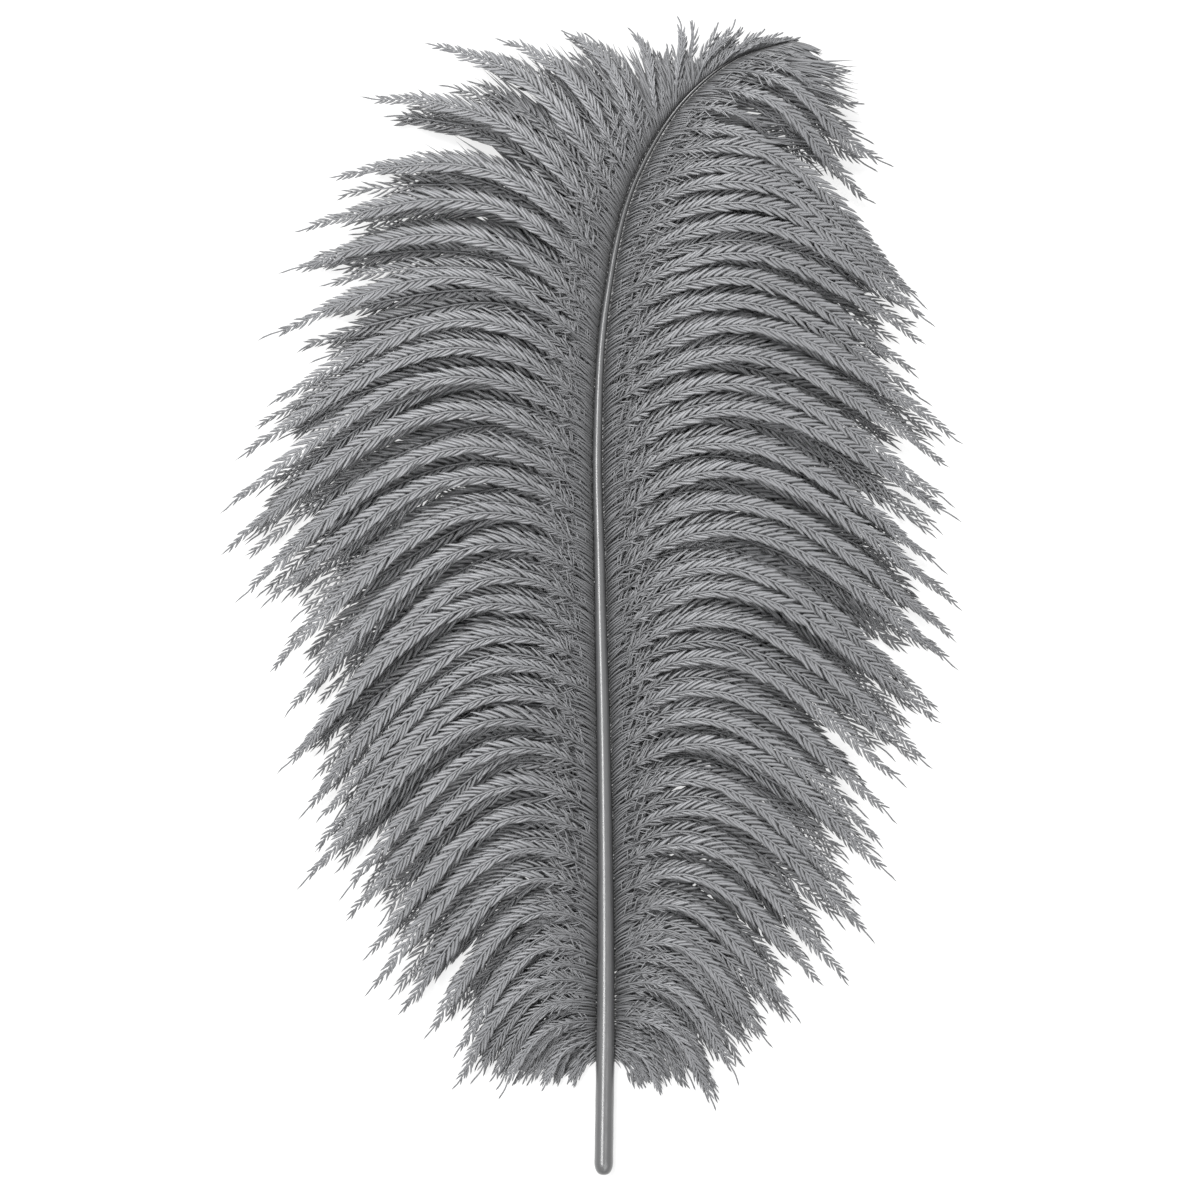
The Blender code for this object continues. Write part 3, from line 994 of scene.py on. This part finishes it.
class PLUME_OT_add_root_down(bpy.types.Operator):
    """Add the fine down that lines one side of the quill, and the long hairs low under the barbs"""

    bl_idname = "plume.add_root_down"
    bl_label = "Add Root Down"

    side: EnumProperty(name="Side", description="Which side of the quill", items=SIDE_ITEMS)

    # The left side's hairs are closer, thicker, darker and shorter at the tip, and look smooth. Their darker
    # finish is painted shade.
    closer = {LEFT: 0.8, RIGHT: 1.0}
    thicker = {LEFT: 1.25, RIGHT: 1.0}
    shade = {LEFT: 0.80, RIGHT: 0.95}
    # Painted shade: each hair is this dark at its root, in the slit beside the quill.
    root_shade = 0.05
    tip_cut = {LEFT: 0.5, RIGHT: 0.1}
    tip_span = (0.84, 0.92)
    full_at = 70 * MM  # chord of the barbs from which the hairs there have full length
    longest = 0.7  # a hair's length as a share of the barbs' chord there
    least_leave = math.radians(9)
    bottom_opening = math.radians(38)  # how much wider the lowest hairs leave
    bottom_span = (0.0, 0.05)
    steps = 7

    def execute(self, context):
        scene = context.scene
        side = SIDES[self.side]
        rng = np.random.default_rng(71 + side)
        web = Web(Shaft(scene.plume_quill), scene.plume_barbs, side)
        fibres = Fibres()
        for row in range(len(ROOT_ROWS)):
            self.add_row(fibres, row, scene.plume_root_down, web, rng)
        name = f"{self.side}_root_down"
        finish = down_finish(scene.plume_finish, name, self.shade[side], self.root_shade)
        add_piece(name, fibres.mesh(name), finish)
        return {"FINISHED"}

    def add_row(self, fibres, row, down, web, rng):
        """One row of hairs, from the quill's first barb to its tip."""
        shaft, side = web.shaft, web.side
        longer, thicker, lift = ROOT_ROWS[row]
        low = row >= TOP_ROWS
        pitch = down.pitch * self.closer[side] * (LOW_ROW_PITCH if low else 1.0)
        count = int(shaft.length * (1 - BARE_SHARE) / pitch)
        places = (np.arange(count) + 0.5 + row / 2) / (count + 1)
        places = np.clip(places + rng.normal(0, 0.1 / count, count), 0, 0.999)
        share = quill_share(places)
        heading, centre, radius = shaft.heading(share), shaft.point(share), shaft.radius(share)
        _, chord = web_chord(side, places)
        root = centre + level(heading - side * math.pi / 2) * (radius * ROOT_OUT)[:, None]
        root[:, 2] -= (0.1 + 0.5 * row) * radius
        scale = np.minimum(1.0, (chord / self.full_at) ** 0.8)
        size = down.length * longer * scale * rng.uniform(0.62, 1.1, count)
        tip_cut = self.tip_cut[side] * ease(places, *self.tip_span)
        size = np.minimum(size, self.longest * chord * (1 - tip_cut))
        leave = web.leave(places) - web.barbs.leave + down.leave + np.radians(rng.normal(0, 1.5, count))
        leave = leave + self.bottom_opening * (1 - ease(places, *self.bottom_span))
        leave = np.maximum(leave, self.least_leave)
        bend = np.radians(rng.normal(15, 5, count))
        rise = lift * (chord / FULL_CHORD) ** 0.3
        u = np.linspace(0, 1, self.steps)
        mid, far = level(heading - side * leave) * 0.5, level(heading - side * (leave + bend))
        mid[:, 2], far[:, 2] = rise * 0.62, rise * 0.85
        path = 2 * mid[:, None, :] * (u * (1 - u))[None, :, None] + far[:, None, :] * (u * u)[None, :, None]
        lines = root[:, None, :] + path * size[:, None, None]
        across = np.cross(np.gradient(lines, axis=1), [0, 0, 1.0])
        swell = np.interp(u, [0, 0.12, 0.6, 1], [0, 1, 0.85, 0])
        width = down.radius * thicker * self.thicker[side] * rng.uniform(0.85, 1.1, count)
        reach = np.broadcast_to(0.02 + 0.1 * u, (count, self.steps))
        # The low rows get painted shade: their tones are pulled towards the dark down.
        tone = rng.random(count) * (LOW_ROW_PAINTED_SHADE if low else 1.0)
        fibres.add(off_floor(lines), width[:, None] * swell, across, 0.8, 4, reach=reach, tone=tone)


class PLUME_OT_add_stage(bpy.types.Operator):
    """Add the pale floor, the soft studio lights and the camera that looks straight down"""

    bl_idname = "plume.add_stage"
    bl_label = "Add Stage"

    paper_grey = 0.16
    off_middle = Vector((2.1, -1.6)) * MM  # of the camera's axis, from the middle of the feather
    focus_height = 12.0 * MM  # height at which the camera sees the view width

    def execute(self, context):
        scene = context.scene
        settings = scene.plume_stage
        middle = (cad_low + cad_high) / 2
        self.add_floor(scene, settings)
        world = bpy.data.worlds.new("studio")
        world.use_nodes = True
        background = world.node_tree.nodes["Background"]
        background.inputs["Color"].default_value = (1, 1, 1, 1)
        background.inputs["Strength"].default_value = settings.sky
        scene.world = world
        self.lamp(scene, "key", (-0.35, 0.85, 1.3), middle, (0.5, 0.5), settings.key)
        self.lamp(scene, "fill", (0.5, -0.9, 1.3), middle, (1.1, 1.1), settings.fill)
        self.lamp(scene, "strip", (-0.50, 0.0, 1.15), middle, (0.32, 1.3), settings.strip)
        camera = bpy.data.cameras.new("camera")
        camera.lens = settings.lens
        camera.sensor_width = 36.0
        holder = bpy.data.objects.new("camera", camera)
        distance = settings.view_width * camera.lens / camera.sensor_width
        holder.location = (*(middle.xy + self.off_middle), self.focus_height + distance)
        scene.collection.objects.link(holder)
        scene.camera = holder
        scene.view_settings.view_transform = "Standard"
        return {"FINISHED"}

    def add_floor(self, scene, settings):
        """A square of grey paper that also glows, so that it looks white and casts light back up."""
        half = settings.floor / 2
        corners = [(-half, -half, 0), (half, -half, 0), (half, half, 0), (-half, half, 0)]
        mesh = bpy.data.meshes.new("floor")
        mesh.from_pydata(corners, [], [(0, 1, 2, 3)])
        paper = plain_finish("floor_paper", (self.paper_grey,) * 3, 0.9)
        glow = paper.node_tree.nodes["Principled BSDF"]
        glow.inputs["Emission Color"].default_value = (1, 1, 1, 1)
        glow.inputs["Emission Strength"].default_value = settings.glow
        mesh.materials.append(paper)
        floor = bpy.data.objects.new("floor", mesh)
        scene.collection.objects.link(floor)

    def lamp(self, scene, name, place, aim, size, power):
        """A softbox at place, turned to aim, its second side along the quill."""
        light = bpy.data.lights.new(name, "AREA")
        light.shape = "RECTANGLE"
        light.size, light.size_y = size
        light.energy = power
        made = bpy.data.objects.new(name, light)
        made.location = place
        made.rotation_euler = (aim - Vector(place)).to_track_quat("-Z", "X").to_euler()
        made.visible_camera = False
        scene.collection.objects.link(made)


class PLUME_PT_sidebar(bpy.types.Panel):
    """Lists the steps, each with its settings"""

    bl_idname = "PLUME_PT_sidebar"
    bl_label = "Ostrich Plume"
    bl_space_type = "VIEW_3D"
    bl_region_type = "UI"
    bl_category = "Plume"

    def draw(self, context):
        steps = (
            ("plume.add_stage", ("plume_stage",)),
            ("plume.add_quill", ("plume_quill",)),
            ("plume.add_barbs", ("plume_barbs", "plume_barbules")),
            ("plume.add_root_down", ("plume_root_down",)),
            (None, ("plume_finish",)),
        )
        for step, groups in steps:
            box = self.layout.box()
            if step:
                box.operator(step)
            for group in groups:
                settings = getattr(context.scene, group)
                for name in settings.__annotations__:
                    box.prop(settings, name)


GROUPS = {
    "plume_quill": PlumeQuill,
    "plume_barbs": PlumeBarbs,
    "plume_barbules": PlumeBarbules,
    "plume_root_down": PlumeRootDown,
    "plume_finish": PlumeFinish,
    "plume_stage": PlumeStage,
}
CLASSES = (
    *GROUPS.values(),
    PLUME_OT_add_quill,
    PLUME_OT_add_barbs,
    PLUME_OT_add_root_down,
    PLUME_OT_add_stage,
    PLUME_PT_sidebar,
)


def register():
    for made in CLASSES:
        bpy.utils.register_class(made)
    for name, group in GROUPS.items():
        setattr(bpy.types.Scene, name, PointerProperty(type=group))


def unregister():
    for name in GROUPS:
        delattr(bpy.types.Scene, name)
    for made in reversed(CLASSES):
        bpy.utils.unregister_class(made)


def main():
    register()
    bpy.ops.plume.add_stage()
    bpy.ops.plume.add_quill()
    for side, _, _ in SIDE_ITEMS:
        for layer in LAYERS:
            bpy.ops.plume.add_barbs(side=side, layer=layer)
        bpy.ops.plume.add_root_down(side=side)


if __name__ == "__main__":
    main()
